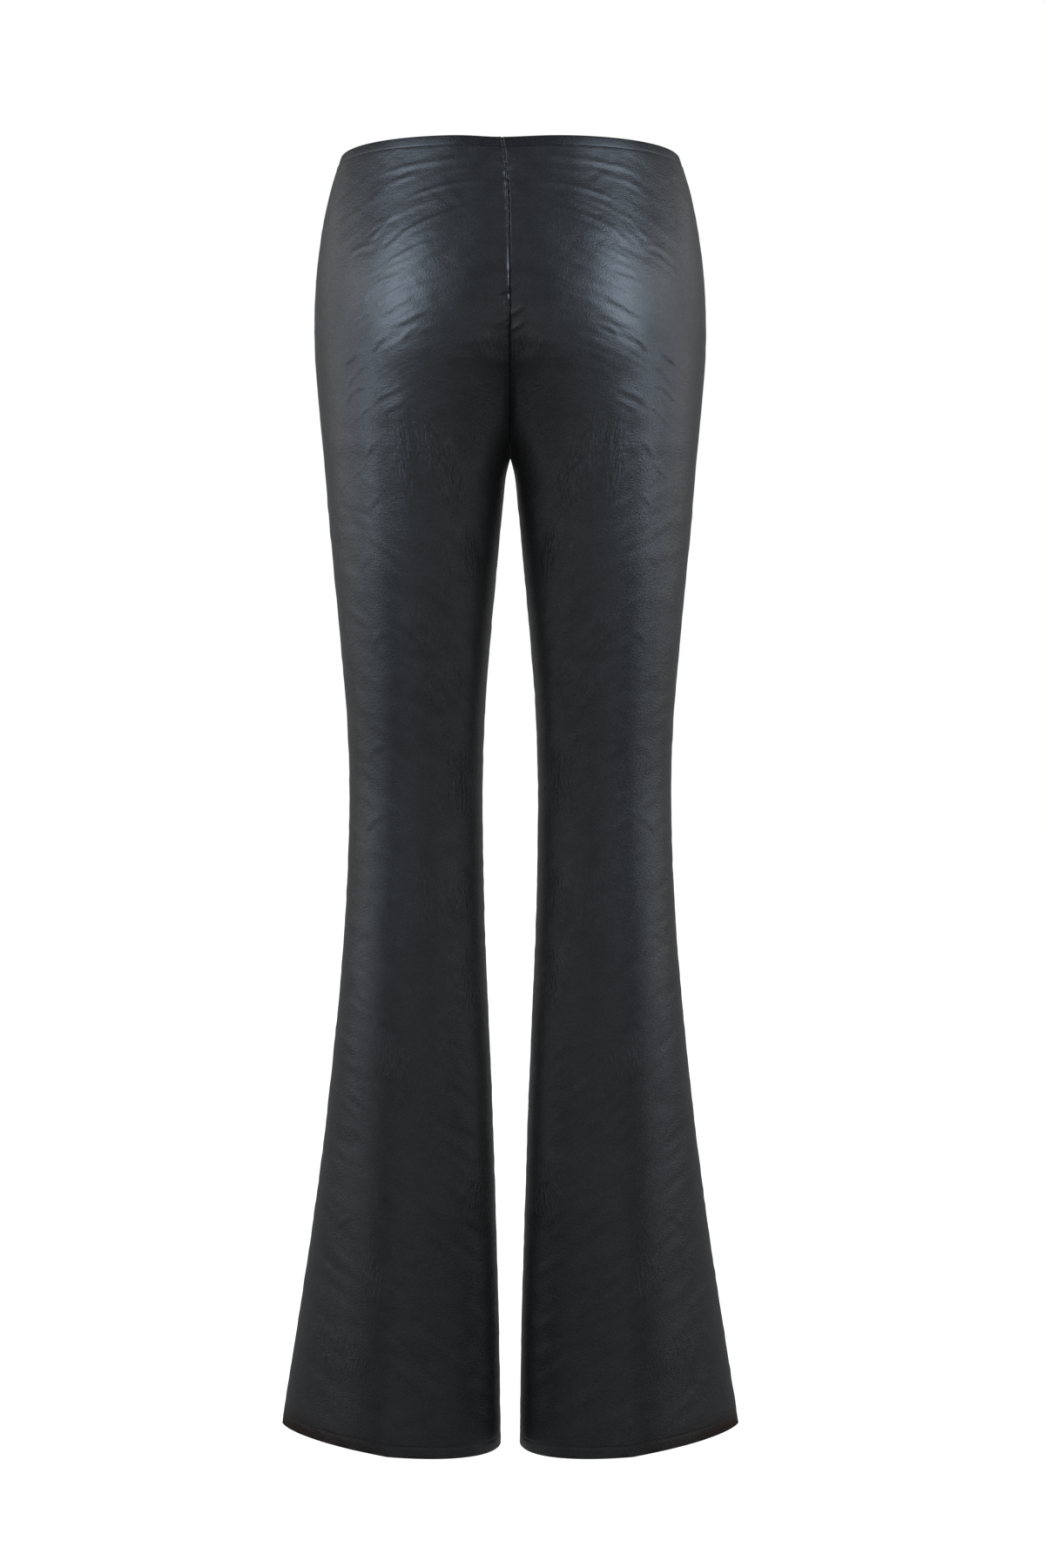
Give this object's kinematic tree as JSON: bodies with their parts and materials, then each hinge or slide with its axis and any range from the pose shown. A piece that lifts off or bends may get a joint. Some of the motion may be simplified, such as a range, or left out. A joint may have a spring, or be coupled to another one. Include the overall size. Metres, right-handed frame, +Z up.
{
  "type": "faux leather trousers",
  "caption": "Pull-on faux leather trousers with flared legs and a gathered centre back seam, in the hollow form they have when worn.",
  "frame": {"origin": "the middle of the waist opening, level with the waist edge at the side seams, where the wearer's waist holds the trousers", "axes": "+Z up, +Y towards the front of the garment (the picture shows its back, -Y), -X towards the wearer's left"},
  "size_m": [0.3736, 0.2249, 1.0512],
  "materials": {
    "faux_leather": "black polyurethane-coated cloth with a fine grain and a satin, slightly blue sheen",
    "band_leather": "the same cloth, folded double and pressed flat",
    "thread": "black polyester sewing thread"
  },
  "bodies": {
    "root": {"back_left": "faux_leather", "back_right": "faux_leather", "front_left": "faux_leather", "front_right": "faux_leather", "waist_band_left": "band_leather", "waist_band_right": "band_leather", "hem_left": "faux_leather", "hem_right": "faux_leather"}
  },
  "joints": []
}
